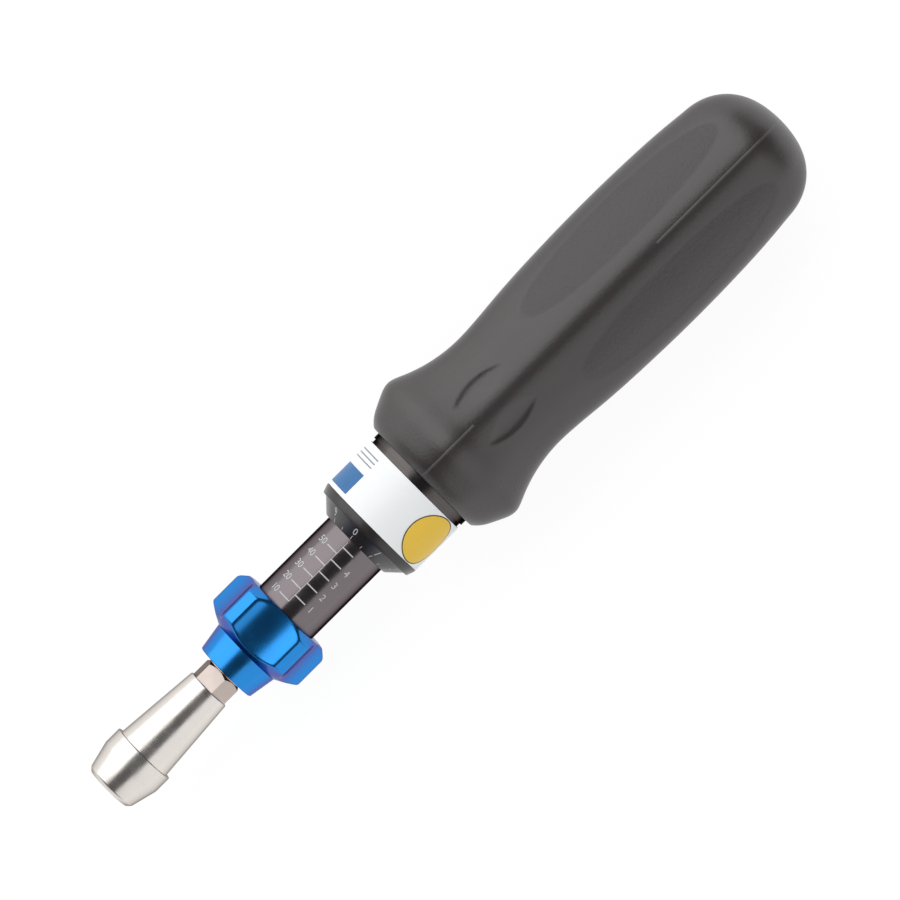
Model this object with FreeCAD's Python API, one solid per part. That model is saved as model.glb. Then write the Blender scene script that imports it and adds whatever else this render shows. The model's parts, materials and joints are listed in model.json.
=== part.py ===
import FreeCAD, Part

import math
import os

# Adjustable torque screwdriver with a ball clutch, in millimetres.
# The tool's axis is the X axis. The origin is the centre of the bit socket's mouth, +X points
# to the end of the handle, and +Z is up through one of the five ridges of the grip.
# In use the handle drives a keyed plate, six balls and a cam plate, and the cam plate drives
# the spindle until the balls climb out of their pockets. Turning the scale tube in the handle
# screws it in or out and so presses the torque spring more or less. The knob locks the scale
# tube to the keyed plate by a friction cone, until it is pulled forward.

# ---- fits and clearances ----
running_gap = 0.05      # radial gap of a turning or sliding fit
free_gap = 0.3          # gap between pieces that only pass each other
match_tolerance = 0.01  # how near an edge lies to its stated place
race_gap = 0.03         # gap of a ball in its pocket or race

# ---- hexagon drive and bit holder ----
hex_flats = 6.35        # quarter inch hexagon, across flats
hex_turn = 12.5         # degrees that a corner of the hexagon stands off the top
socket_play = 0.1
socket_depth = 10.0
holder_length = 22.8
holder_mouth_wall = 0.23
holder_nose_width = 0.65
holder_nose_length = 0.65
holder_head_wall = 1.98
holder_cone_length = 5.0
holder_head_length = 8.06
holder_step = 0.67
holder_tail_wall = 0.2
holder_edge = 0.2
magnet_shoulder = 0.575
magnet_length = 2.5
snap_ring_at = 4.0
snap_ring_wire = 0.75
snap_ring_clear = 0.125
snap_ring_opening = 30.0

# ---- spindle and its bearings ----
journal_step = 0.075
tail_step = 0.5
tail_flat_depth = 0.5
hex_chamfer_length = 0.5
bush_wall = 0.55
bush_length = 5.0
circlip_width = 1.25
circlip_thickness = 0.6
circlip_groove_depth = 0.35
circlip_mouth = 2.6
tail_end_length = 0.8
washer_thickness = 0.5
washer_rim_gap = 0.1

# ---- lock sleeve and its spring ----
sleeve_front_wall = 0.5
sleeve_spindle_gap = 0.2
flange_length = 1.2
lock_cone_length = 0.8
lock_cone_slope = 0.4
knob_spring_length = 8.0
knob_spring_wire = 0.6
knob_spring_gap = 0.1
knob_spring_turns = 5

# ---- scale tube ----
scale_tube_wall = 1.0
scale_window = 15.7     # scale left bare between the knob and the thimble
guide_bore_length = 7.5
collar_height = 1.55
collar_length = 8.0
collar_inset = 8.7      # from the grip's front edge to the collar's rear end
key_pin_r = 0.75
key_pin_inset = 2.7
key_pin_stand = 0.9
key_pin_angles = (108.0, 252.0)

# ---- knob ----
shank_gap = 3.8         # hexagon left bare between the bit holder and the knob
boss_front_wall = 1.56
boss_taper = 0.77
boss_length = 4.7
boss_edge = 0.15
flare_length = 1.9
knob_wall = 1.7         # from the scale tube's room to the floor of a scallop
knob_land_length = 5.8
knob_rear_length = 1.4
knob_rear_step = 1.45
knob_edge = 0.25
knob_floor_inset = 2.8  # from the flare's front end to the bottom of the scale tube's room
scallop_count = 5
scallop_r = 12.0
scallop_depth = 2.2
knob_travel = 2.0

# ---- setting travel ----
division = 2.7          # scale division, which is also the thread's lead
setting_turns_out = 0.5
cavity_front_gap = 0.65

# ---- thimble, body tube and label ----
thimble_length = 3.8
thimble_lip = 0.6
thimble_lip_length = 1.5
thimble_cone_length = 2.2
thimble_cone_step = 1.07
thimble_rim_step = 0.47
thimble_screw_r = 0.8
thimble_screw_socket = 0.9
thimble_screw_angles = (120.0, 240.0)
spigot_wall = 1.35
body_wall = 3.97        # from the scale tube's surface to the body's surface
label_length = 9.7
label_thickness = 0.1
ring_groove_length = 0.7
ring_groove_depth = 0.35
ring_length = 1.7
marker_edge = 0.15
marker_thickness = 0.08
marker_angle = 51.5
key_groove_depth = 0.6
key_lug_gap = 0.1
key_width = 3.0
key_angles = (0.0, 180.0)
body_tail_wall = 0.6
seal_wire = 1.2
seal_inset = 4.2

# ---- clutch ----
thrust_ball_r = 1.0
thrust_ball_count = 12
thrust_ball_inset = 1.1
race_depth = 0.2
cage_thickness = 0.8
cage_width = 2.6
plate_gap = 0.1
plate_thickness = 4.0
drive_ball_r = 1.2
drive_ball_count = 6
drive_ball_inset = 2.2
drive_ball_bite = 0.5   # how far a ball sits in the cam plate's pocket
drive_ball_sink = 0.05
cam_pocket_count = 12
cam_gap = 0.4
cam_thickness = 3.0
cam_slip_room = 0.8

# ---- torque spring and its seats ----
seat_thickness = 2.5
spring_pilot_length = 3.0
spring_pilot_gap = 0.4
torque_spring_wire = 2.0
torque_spring_turns = 9
plug_length = 6.0
plug_socket_flats = 6.0
plug_socket_depth = 4.0

# ---- grip ----
# Height of the grip's side over the body tube's tail, and how strongly the grip is five-sided,
# at distances from its front edge. A dome closes it behind the last of them.
grip_outline = (
    (0.0, 2.2, 0.010),
    (0.5, 2.9, 0.020),
    (1.6, 3.75, 0.030),
    (3.6, 4.75, 0.034),
    (5.4, 5.58, 0.036),
    (6.8, 5.88, 0.036),
    (8.2, 5.48, 0.036),
    (10.2, 4.62, 0.035),
    (13.0, 3.70, 0.034),
    (16.4, 3.02, 0.034),
    (19.8, 2.80, 0.034),
    (24.0, 3.02, 0.034),
    (30.5, 3.60, 0.034),
    (38.0, 3.98, 0.034),
    (47.6, 4.20, 0.034),
    (57.0, 4.10, 0.033),
    (66.0, 3.70, 0.031),
    (71.0, 3.20, 0.029),
)
grip_ridges = 5
grip_points_round = 40
grip_dome_length = 10.5
grip_dome_sections = 6
grip_dome_fullness = 2.05
grip_dome_power = 0.42
grip_end_wall = 14.8
dimple_at = 16.7
dimple_length = 10.8
dimple_width = 3.8
dimple_depth = 0.45
dimple_angle = 17.5

# ---- radii, from the hexagon outwards ----
corner_ratio = 1 / math.cos(math.radians(30))
hex_corner_r = hex_flats / 2 * corner_ratio
hex_room_r = hex_corner_r + free_gap
socket_flats = hex_flats + socket_play
socket_corner_r = socket_flats / 2 * corner_ratio
holder_mouth_r = socket_corner_r + holder_mouth_wall
holder_nose_r = holder_mouth_r + holder_nose_width
holder_head_r = socket_corner_r + holder_head_wall
holder_neck_r = holder_head_r - holder_step
holder_tail_r = hex_corner_r + holder_tail_wall
magnet_r = hex_flats / 2 - magnet_shoulder
snap_ring_inner_r = socket_flats / 2 + snap_ring_clear
journal_r = hex_flats / 2 - journal_step
tail_r = journal_r - tail_step
circlip_inner_r = tail_r - circlip_groove_depth
circlip_r = circlip_inner_r + circlip_width
bush_r = journal_r + running_gap + bush_wall
sleeve_bore_r = journal_r + sleeve_spindle_gap
sleeve_r = bush_r + sleeve_front_wall
knob_spring_r = sleeve_r + knob_spring_gap + knob_spring_wire / 2
scale_tube_bore_r = sleeve_r + 2 * knob_spring_gap + knob_spring_wire
flange_r = scale_tube_bore_r - knob_spring_gap
scale_tube_r = scale_tube_bore_r + scale_tube_wall
tube_room_r = scale_tube_r + running_gap
boss_front_r = hex_room_r + boss_front_wall
boss_rear_r = boss_front_r + boss_taper
scallop_floor_r = tube_room_r + knob_wall
knob_r = scallop_floor_r + scallop_depth
knob_rear_r = knob_r - knob_rear_step
spigot_r = tube_room_r + spigot_wall
body_r = scale_tube_r + body_wall
label_land_r = body_r - label_thickness
thimble_front_r = scale_tube_r + thimble_lip
thimble_cone_r = body_r - thimble_cone_step
thimble_rim_r = body_r - thimble_rim_step
collar_r = scale_tube_r + collar_height
cavity_r = collar_r + running_gap
plate_r = cavity_r - plate_gap
cam_r = cavity_r - cam_gap
thrust_pitch_r = scale_tube_bore_r + thrust_ball_inset
drive_pitch_r = cavity_r - drive_ball_inset
key_groove_r = cavity_r + key_groove_depth
body_tail_r = key_groove_r + body_tail_wall
seat_bore_r = circlip_r + free_gap
torque_spring_r = cavity_r - free_gap - torque_spring_wire / 2
spring_pilot_r = torque_spring_r - torque_spring_wire / 2 - spring_pilot_gap

# ---- places along the axis ----
magnet_rear = socket_depth + magnet_length
knob_front = holder_length + shank_gap
flare_front = knob_front + boss_length
land_front = flare_front + flare_length
land_rear = land_front + knob_land_length
knob_rear = land_rear + knob_rear_length
hex_rear = knob_front - free_gap
sleeve_front = knob_front + knob_travel + free_gap + hex_chamfer_length
tube_room_front = flare_front + knob_floor_inset
tube_front = tube_room_front + free_gap
key_pin_x = tube_front + key_pin_inset
guide_rear = tube_front + guide_bore_length
flange_front = guide_rear + knob_spring_length
thimble_front = knob_rear + scale_window
body_front = thimble_front + thimble_length
spigot_front = thimble_front + thimble_lip_length
thimble_screw_x = body_front - thimble_screw_r - free_gap / 2
label_rear = body_front + label_length
grip_front = label_rear + ring_length
grip_length = grip_outline[-1][0] + grip_dome_length
grip_end = grip_front + grip_length
collar_rear = grip_front + collar_inset
collar_front = collar_rear - collar_length
cavity_front = collar_front - setting_turns_out * division - cavity_front_gap
thrust_gap = 2 * (thrust_ball_r - race_depth)
front_thrust_x = collar_rear + thrust_gap / 2
plate_front = collar_rear + thrust_gap
plate_rear = plate_front + plate_thickness
drive_ball_x = plate_rear - drive_ball_sink
cam_front = drive_ball_x + drive_ball_r - drive_ball_bite
cam_rear = cam_front + cam_thickness
rear_thrust_x = cam_rear + thrust_gap / 2
seat_front = cam_rear + thrust_gap
seat_rear = seat_front + seat_thickness
hub_floor = plate_front + lock_cone_length + free_gap
shoulder_x = hub_floor - washer_thickness
circlip_front = cam_rear + cam_slip_room
circlip_rear = circlip_front + circlip_thickness
spindle_rear = circlip_rear + tail_end_length
body_rear = grip_end - grip_end_wall
plug_front = body_rear - plug_length

ORIGIN = FreeCAD.Vector(0, 0, 0)
AXIS = FreeCAD.Vector(1, 0, 0)


def turned(points):
    """Solid turned about the tool's axis from (place, radius) points."""
    outline = [FreeCAD.Vector(x, 0, r) for x, r in points]
    outline.append(outline[0])
    return Part.Face(Part.makePolygon(outline)).revolve(ORIGIN, AXIS, 360)


def rod(start, end, radius):
    """Round bar on the tool's axis."""
    return Part.makeCylinder(radius, end - start, FreeCAD.Vector(start, 0, 0), AXIS)


def tube(start, end, inner_r, outer_r):
    """Round tube on the tool's axis."""
    return rod(start, end, outer_r).cut(rod(start, end, inner_r))


def hexagon_bar(start, end, flats, turn=0.0):
    """Six-sided bar on the tool's axis, with a corner up when it isn't turned."""
    corner_r = flats / 2 * corner_ratio
    corners = []
    for index in range(7):
        angle = math.radians(60 * index + turn)
        corners.append(FreeCAD.Vector(start, -corner_r * math.sin(angle), corner_r * math.cos(angle)))
    return Part.Face(Part.makePolygon(corners)).extrude(AXIS * (end - start))


def around(shape, angle):
    """Copy of a shape, turned about the tool's axis by degrees from the top."""
    copy = shape.copy()
    copy.rotate(ORIGIN, AXIS, angle)
    return copy


def ring_of(shape, count):
    """Separate copies of a shape, spread evenly round the tool's axis."""
    return [around(shape, 360.0 * index / count) for index in range(count)]


def ball(x, pitch_r, radius):
    """Ball centred above the tool's axis."""
    return Part.makeSphere(radius, FreeCAD.Vector(x, 0, pitch_r))


def race(x, pitch_r, radius):
    """Ring that a ball sweeps on its way round the axis."""
    return Part.makeTorus(pitch_r, radius, FreeCAD.Vector(x, 0, 0), AXIS)


def rounded(shape, places, size):
    """Rounds the turned edges that lie at the given (place, radius) pairs."""
    chosen = []
    for edge in shape.Edges:
        if not isinstance(edge.Curve, Part.Circle):
            continue
        for x, r in places:
            off = max(abs(edge.Curve.Center.x - x), abs(edge.Curve.Radius - r))
            if off < match_tolerance:
                chosen.append(edge)
    return shape.makeFillet(size, chosen)


def coil_spring(start, end, mean_r, wire, turns):
    """Round wire coil on the tool's axis, between two flat seats."""
    height = end - start - wire
    helix = Part.makeHelix(height / turns, height, mean_r)
    section = Part.Wire(Part.makeCircle(wire / 2, FreeCAD.Vector(mean_r, 0, 0), FreeCAD.Vector(0, 1, 0)))
    spring = Part.Wire(helix.Edges).makePipeShell([section], True, True)
    spring.rotate(ORIGIN, FreeCAD.Vector(0, 1, 0), 90)
    spring.translate(FreeCAD.Vector(start + wire / 2, 0, 0))
    return spring


# ---- spindle with the bit holder ----

def make_bit_holder():
    body = turned([
        (0, 0),
        (0, holder_mouth_r),
        (holder_nose_length, holder_nose_r),
        (holder_cone_length, holder_head_r),
        (holder_head_length, holder_head_r),
        (holder_head_length, holder_neck_r),
        (holder_length - holder_edge, holder_tail_r),
        (holder_length, holder_tail_r - holder_edge / 2),
        (holder_length, 0),
    ])
    body = rounded(body, [(holder_cone_length, holder_head_r)], holder_edge * 4)
    body = rounded(body, [(holder_nose_length, holder_nose_r)], holder_edge * 2)
    socket = hexagon_bar(0, socket_depth, socket_flats, hex_turn)
    magnet_seat = rod(socket_depth, magnet_rear, magnet_r)
    spindle_seat = hexagon_bar(magnet_rear, holder_length, hex_flats, hex_turn)
    groove_r = snap_ring_inner_r + snap_ring_wire + race_gap
    half_groove = snap_ring_wire / 2 + race_gap
    groove = rod(snap_ring_at - half_groove, snap_ring_at + half_groove, groove_r)
    return body.cut([socket, magnet_seat, spindle_seat, groove])


def make_bit_magnet():
    return rod(socket_depth, magnet_rear, magnet_r)


def make_bit_ring():
    wire_r = snap_ring_wire / 2
    centre = FreeCAD.Vector(snap_ring_at, 0, snap_ring_inner_r + wire_r)
    section = Part.Face(Part.Wire(Part.makeCircle(wire_r, centre, FreeCAD.Vector(0, 1, 0))))
    return section.revolve(ORIGIN, AXIS, 360 - snap_ring_opening)


def make_spindle():
    hexagon = hexagon_bar(magnet_rear, hex_rear, hex_flats, hex_turn)
    chamfer = turned([
        (magnet_rear, 0),
        (magnet_rear, hex_corner_r),
        (hex_rear - hex_chamfer_length, hex_corner_r),
        (hex_rear, journal_r),
        (hex_rear, 0),
    ])
    shaft = turned([
        (hex_rear, 0),
        (hex_rear, journal_r),
        (shoulder_x, journal_r),
        (shoulder_x, tail_r),
        (circlip_front, tail_r),
        (circlip_front, circlip_inner_r),
        (circlip_rear, circlip_inner_r),
        (circlip_rear, tail_r),
        (spindle_rear, tail_r),
        (spindle_rear, 0),
    ])
    flats = tail_sides(cam_front, spindle_rear)
    return hexagon.common(chamfer).fuse(shaft).cut(flats).removeSplitter()


def tail_sides(start, end):
    """The two slabs that are milled off the spindle's tail, beside its flats."""
    corner = FreeCAD.Vector(start, -2 * tail_r, tail_r - tail_flat_depth)
    slab = Part.makeBox(end - start, 4 * tail_r, 2 * tail_r, corner)
    return [slab, around(slab, 180)]


def make_thrust_washer():
    return tube(shoulder_x, hub_floor, tail_r + running_gap, sleeve_bore_r - washer_rim_gap)


def make_spindle_circlip():
    clip = tube(circlip_front, circlip_rear, circlip_inner_r, circlip_r)
    opening = Part.makeBox(
        circlip_thickness, circlip_mouth, circlip_r,
        FreeCAD.Vector(circlip_front, -circlip_mouth / 2, 0),
    )
    return clip.cut(opening)


def make_cam_plate():
    disc = rod(cam_front, cam_rear, cam_r)
    hole = rod(cam_front, cam_rear, tail_r + running_gap)
    hole = hole.cut(tail_sides(cam_front, cam_rear))
    pockets = ring_of(ball(drive_ball_x, drive_pitch_r, drive_ball_r + race_gap), cam_pocket_count)
    rear_race = race(rear_thrust_x, thrust_pitch_r, thrust_ball_r + race_gap)
    return disc.cut([hole] + pockets + [rear_race])


# ---- plate, balls and seat that slide on keys in the body tube ----

def key_lugs(start, end, outer_r, width):
    """Bars that stand out from the axis at each key."""
    bar = Part.makeBox(end - start, width, outer_r, FreeCAD.Vector(start, -width / 2, 0))
    reach = rod(start, end, outer_r)
    return [around(bar, angle).common(reach) for angle in key_angles]


def make_drive_plate():
    disc = rod(plate_front, plate_rear, plate_r)
    lugs = key_lugs(plate_front, plate_rear, key_groove_r - key_lug_gap, key_width)
    cone_r = sleeve_r + running_gap
    hub = turned([
        (plate_front, 0),
        (plate_front, cone_r),
        (hub_floor, cone_r - lock_cone_slope * (hub_floor - plate_front)),
        (hub_floor, 0),
    ])
    bore = rod(hub_floor, plate_rear, tail_r + running_gap)
    front_race = race(front_thrust_x, thrust_pitch_r, thrust_ball_r + race_gap)
    pocket_r = drive_ball_r + race_gap
    pocket = ball(drive_ball_x, drive_pitch_r, pocket_r)
    mouth = Part.makeCylinder(
        pocket_r, drive_ball_sink, FreeCAD.Vector(drive_ball_x, 0, drive_pitch_r), AXIS,
    )
    pockets = ring_of(pocket.fuse(mouth), drive_ball_count)
    return disc.fuse(lugs).cut([hub, bore, front_race] + pockets)


def make_drive_balls():
    return Part.makeCompound(ring_of(ball(drive_ball_x, drive_pitch_r, drive_ball_r), drive_ball_count))


def make_thrust_balls(x):
    return Part.makeCompound(ring_of(ball(x, thrust_pitch_r, thrust_ball_r), thrust_ball_count))


def make_thrust_cage(x):
    inner_r = thrust_pitch_r - cage_width / 2
    outer_r = thrust_pitch_r + cage_width / 2
    front = x - cage_thickness / 2
    washer = tube(front, front + cage_thickness, inner_r, outer_r)
    hole = Part.makeCylinder(
        thrust_ball_r + race_gap, cage_thickness, FreeCAD.Vector(front, 0, thrust_pitch_r), AXIS,
    )
    return washer.cut(ring_of(hole, thrust_ball_count))


def make_spring_seat():
    seat = turned([
        (seat_front, seat_bore_r),
        (seat_front, plate_r),
        (seat_rear, plate_r),
        (seat_rear, spring_pilot_r),
        (seat_rear + spring_pilot_length, spring_pilot_r),
        (seat_rear + spring_pilot_length, seat_bore_r),
    ])
    return seat.cut(race(rear_thrust_x, thrust_pitch_r, thrust_ball_r + race_gap))


# ---- scale tube with the knob ----

def key_pin(x, start_r, length, radius):
    """Short pin that stands out from the axis at the top."""
    return Part.makeCylinder(radius, length, FreeCAD.Vector(x, 0, start_r), FreeCAD.Vector(0, 0, 1))


def make_scale_tube():
    body = turned([
        (tube_front, sleeve_r + running_gap),
        (tube_front, scale_tube_r - knob_edge),
        (tube_front + knob_edge, scale_tube_r),
        (collar_front, scale_tube_r),
        (collar_front, collar_r),
        (collar_rear, collar_r),
        (collar_rear, scale_tube_bore_r),
        (guide_rear, scale_tube_bore_r),
        (guide_rear, sleeve_r + running_gap),
    ])
    rear_race = race(front_thrust_x, thrust_pitch_r, thrust_ball_r + race_gap)
    hole = key_pin(key_pin_x, 0, scale_tube_r, key_pin_r)
    holes = [around(hole, angle) for angle in key_pin_angles]
    return body.cut([rear_race] + holes)


def make_knob_keys():
    start_r = sleeve_r + free_gap
    length = scale_tube_r + key_pin_stand - start_r
    pin = key_pin(key_pin_x, start_r, length, key_pin_r)
    return Part.makeCompound([around(pin, angle) for angle in key_pin_angles])


def make_knob_spring():
    return coil_spring(guide_rear, flange_front, knob_spring_r, knob_spring_wire, knob_spring_turns)


def make_lock_knob():
    knob = turned([
        (knob_front, hex_room_r),
        (knob_front, boss_front_r - boss_edge),
        (knob_front + boss_edge, boss_front_r),
        (flare_front, boss_rear_r),
        (land_front, knob_r),
        (land_rear, knob_r),
        (knob_rear - knob_edge, knob_rear_r),
        (knob_rear, knob_rear_r - knob_edge),
        (knob_rear, tube_room_r),
        (tube_room_front, tube_room_r),
        (tube_room_front, sleeve_r),
        (sleeve_front, sleeve_r),
        (sleeve_front, hex_room_r),
    ])
    scallop = Part.makeCylinder(
        scallop_r, knob_rear - flare_front,
        FreeCAD.Vector(flare_front, 0, scallop_floor_r + scallop_r), AXIS,
    )
    knob = knob.cut(ring_of(scallop, scallop_count))
    keyway_front = key_pin_x - key_pin_r - free_gap
    keyway_width = 2 * (key_pin_r + running_gap)
    keyway = Part.makeBox(
        knob_rear - keyway_front, keyway_width, scale_tube_r + key_pin_stand + free_gap,
        FreeCAD.Vector(keyway_front, -keyway_width / 2, 0),
    )
    knob = knob.cut([around(keyway, angle) for angle in key_pin_angles])
    return rounded_lands(knob)


def rounded_lands(knob):
    """Rounds the long edges where the scallops meet the knob's round lands."""
    edges = []
    for edge in knob.Edges:
        if not isinstance(edge.Curve, Part.Line):
            continue
        middle = edge.CenterOfMass
        if abs(math.hypot(middle.y, middle.z) - knob_r) < match_tolerance:
            edges.append(edge)
    return knob.makeFillet(knob_edge, edges)


def make_lock_sleeve():
    return turned([
        (sleeve_front, bush_r),
        (sleeve_front, sleeve_r),
        (flange_front, sleeve_r),
        (flange_front, flange_r),
        (flange_front + flange_length, flange_r),
        (flange_front + flange_length, sleeve_r),
        (plate_front, sleeve_r),
        (plate_front + lock_cone_length, sleeve_r - lock_cone_slope * lock_cone_length),
        (plate_front + lock_cone_length, sleeve_bore_r),
        (sleeve_front + bush_length, sleeve_bore_r),
        (sleeve_front + bush_length, bush_r),
    ])


def make_spindle_bush():
    return tube(sleeve_front, sleeve_front + bush_length, journal_r + running_gap, bush_r)


# ---- handle ----

def make_thimble():
    bore_r = scale_tube_r + running_gap * 3
    thimble = turned([
        (thimble_front, bore_r),
        (thimble_front, thimble_front_r),
        (thimble_front + thimble_cone_length, thimble_cone_r),
        (thimble_front + thimble_cone_length, thimble_rim_r),
        (body_front - knob_edge, body_r),
        (body_front, body_r),
        (body_front, spigot_r),
        (spigot_front, spigot_r),
        (spigot_front, bore_r),
    ])
    hole = key_pin(thimble_screw_x, 0, body_r, thimble_screw_r)
    return thimble.cut([around(hole, angle) for angle in thimble_screw_angles])


def make_thimble_screws():
    """Set screws that end just under the rim, each with a hexagon socket."""
    top_r = thimble_rim_r - free_gap
    screw = key_pin(thimble_screw_x, spigot_r, top_r - spigot_r, thimble_screw_r)
    socket = hexagon_bar(top_r - thimble_screw_r, top_r, thimble_screw_socket)
    socket.rotate(ORIGIN, FreeCAD.Vector(0, 1, 0), -90)
    socket.translate(FreeCAD.Vector(thimble_screw_x, 0, 0))
    screw = screw.cut(socket)
    return Part.makeCompound([around(screw, angle) for angle in thimble_screw_angles])


def make_body_tube():
    body = turned([
        (spigot_front, tube_room_r),
        (spigot_front, spigot_r),
        (body_front, spigot_r),
        (body_front, label_land_r),
        (label_rear, label_land_r),
        (label_rear, body_r - ring_groove_depth),
        (label_rear + ring_groove_length, body_r - ring_groove_depth),
        (label_rear + ring_groove_length, body_r),
        (grip_front, body_r),
        (grip_front, body_tail_r),
        (body_rear, body_tail_r),
        (body_rear, cavity_r),
        (cavity_front, cavity_r),
        (cavity_front, tube_room_r),
    ])
    groove_front = plate_front - setting_turns_out * division - free_gap
    grooves = key_lugs(groove_front, body_rear, key_groove_r, key_width + 2 * running_gap)
    half_groove = seal_wire / 2 + race_gap
    seal_x = body_front + seal_inset
    seal_groove = rod(seal_x - half_groove, seal_x + half_groove, tube_room_r + seal_wire + race_gap)
    return body.cut(grooves + [seal_groove])


def make_tube_seal():
    return race(body_front + seal_inset, tube_room_r + seal_wire / 2, seal_wire / 2)


def make_label_band():
    return tube(body_front + running_gap, label_rear - running_gap, label_land_r, body_r)


def make_marker_dot():
    """Round sticker that follows the label's curve, part of the way down one side."""
    film = tube(body_front, label_rear, body_r, body_r + marker_thickness)
    centre_x = (body_front + label_rear) / 2
    punch = key_pin(centre_x, 0, body_r * 2, label_length / 2 - marker_edge)
    return film.common(around(punch, marker_angle))


def make_calibration_plug():
    plug = turned([
        (plug_front - spring_pilot_length, 0),
        (plug_front - spring_pilot_length, spring_pilot_r),
        (plug_front, spring_pilot_r),
        (plug_front, cavity_r),
        (body_rear, cavity_r),
        (body_rear, 0),
    ])
    return plug.cut(hexagon_bar(body_rear - plug_socket_depth, body_rear, plug_socket_flats))


def make_torque_spring():
    return coil_spring(seat_rear, plug_front, torque_spring_r, torque_spring_wire, torque_spring_turns)


def grip_stations():
    """Distance from the front edge, half width and five-sidedness of each of the grip's sections."""
    stations = [(x, body_tail_r + height, lobes) for x, height, lobes in grip_outline]
    dome_x, dome_r, dome_lobes = stations[-1]
    for index in range(1, grip_dome_sections + 1):
        share = math.sin(math.radians(90 * index / grip_dome_sections))
        fall = (1 - (0.997 * share) ** grip_dome_fullness) ** grip_dome_power
        stations.append((dome_x + share * grip_dome_length, dome_r * fall, dome_lobes * fall))
    return stations


def mean_radius(half_width, lobes):
    """Mean radius of a five-sided outline that is this wide from the axis to its side."""
    reach = max(
        (1 + lobes * math.cos(math.radians(grip_ridges * angle))) * math.sin(math.radians(angle))
        for angle in range(60, 120)
    )
    return half_width / reach


def grip_radius(x):
    """Mean radius of the grip at a distance from its front edge."""
    stations = grip_stations()
    for before, after in zip(stations, stations[1:]):
        if before[0] <= x <= after[0]:
            share = (x - before[0]) / (after[0] - before[0])
            return (1 - share) * mean_radius(*before[1:]) + share * mean_radius(*after[1:])


def grip_section(x, half_width, lobes):
    """Closed five-sided outline with rounded ridges, one ridge at the top."""
    mean_r = mean_radius(half_width, lobes)
    points = []
    for index in range(grip_points_round):
        angle = 2 * math.pi * index / grip_points_round
        radius = mean_r * (1 + lobes * math.cos(grip_ridges * angle))
        points.append(FreeCAD.Vector(x, -radius * math.sin(angle), radius * math.cos(angle)))
    curve = Part.BSplineCurve()
    curve.interpolate(points, PeriodicFlag=True)
    return Part.Wire(curve.toShape())


def make_dimple_cutter():
    """Pointed lens that lies along the neck's hollow and sinks into the grip under the top."""
    front_r = grip_radius(dimple_at - dimple_length / 2)
    rear_r = grip_radius(dimple_at + dimple_length / 2)
    floor_r = grip_radius(dimple_at) - dimple_depth
    sag = (front_r + rear_r) / 2 - floor_r
    belly_r = (dimple_width ** 2 / 4 + dimple_depth ** 2) / (2 * dimple_depth)
    side_r = (dimple_length ** 2 / 4 + sag ** 2) / (2 * sag)
    half_length = math.sqrt(side_r ** 2 - (side_r - belly_r) ** 2)
    side = Part.Arc(
        FreeCAD.Vector(-half_length, 0, 0),
        FreeCAD.Vector(0, 0, -belly_r),
        FreeCAD.Vector(half_length, 0, 0),
    ).toShape()
    chord = Part.makeLine(FreeCAD.Vector(half_length, 0, 0), FreeCAD.Vector(-half_length, 0, 0))
    lens = Part.Face(Part.Wire([side, chord])).revolve(ORIGIN, AXIS, 360)
    tilt = math.degrees(math.atan2(front_r - rear_r, dimple_length))
    lens.rotate(FreeCAD.Vector(0, 0, -belly_r), FreeCAD.Vector(0, 1, 0), tilt)
    lens.translate(FreeCAD.Vector(grip_front + dimple_at, 0, floor_r + belly_r))
    return lens


def make_grip():
    sections = [grip_section(grip_front + x, width, lobes) for x, width, lobes in grip_stations()]
    grip = Part.makeLoft(sections, True, False)
    lens = make_dimple_cutter()
    cutters = []
    for copy in ring_of(lens, grip_ridges):
        cutters.append(around(copy, dimple_angle))
        cutters.append(around(copy, -dimple_angle))
    bore = rod(grip_front, body_rear, body_tail_r)
    return grip.cut([bore] + cutters)


pieces = {
    "bit_holder": make_bit_holder(),
    "bit_magnet": make_bit_magnet(),
    "bit_ring": make_bit_ring(),
    "spindle": make_spindle(),
    "thrust_washer": make_thrust_washer(),
    "spindle_circlip": make_spindle_circlip(),
    "cam_plate": make_cam_plate(),
    "drive_plate": make_drive_plate(),
    "drive_balls": make_drive_balls(),
    "front_thrust_balls": make_thrust_balls(front_thrust_x),
    "front_thrust_cage": make_thrust_cage(front_thrust_x),
    "rear_thrust_balls": make_thrust_balls(rear_thrust_x),
    "rear_thrust_cage": make_thrust_cage(rear_thrust_x),
    "spring_seat": make_spring_seat(),
    "scale_tube": make_scale_tube(),
    "knob_keys": make_knob_keys(),
    "knob_spring": make_knob_spring(),
    "lock_knob": make_lock_knob(),
    "lock_sleeve": make_lock_sleeve(),
    "spindle_bush": make_spindle_bush(),
    "thimble": make_thimble(),
    "thimble_screws": make_thimble_screws(),
    "body_tube": make_body_tube(),
    "tube_seal": make_tube_seal(),
    "label_band": make_label_band(),
    "marker_dot": make_marker_dot(),
    "calibration_plug": make_calibration_plug(),
    "torque_spring": make_torque_spring(),
    "grip": make_grip(),
}

os.makedirs("parts", exist_ok=True)
for name, shape in pieces.items():
    shape.exportStep(f"parts/{name}.step")
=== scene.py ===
# %% [markdown]
# # A torque screwdriver
#
# This is a torque screwdriver with a sliding bit holder, a blue knob, a scale tube, a black
# thimble and a ribbed handle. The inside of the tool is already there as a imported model. This
# file dresses it: it gives each piece its finish, and it models the pieces that are seen again,
# with smoother surfaces and finer detail.
#
# The tool lies along X with its tip at zero. All of Blender's sizes are in metres, so a size in
# millimetres is multiplied by `mm`.

import json
import math

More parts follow.
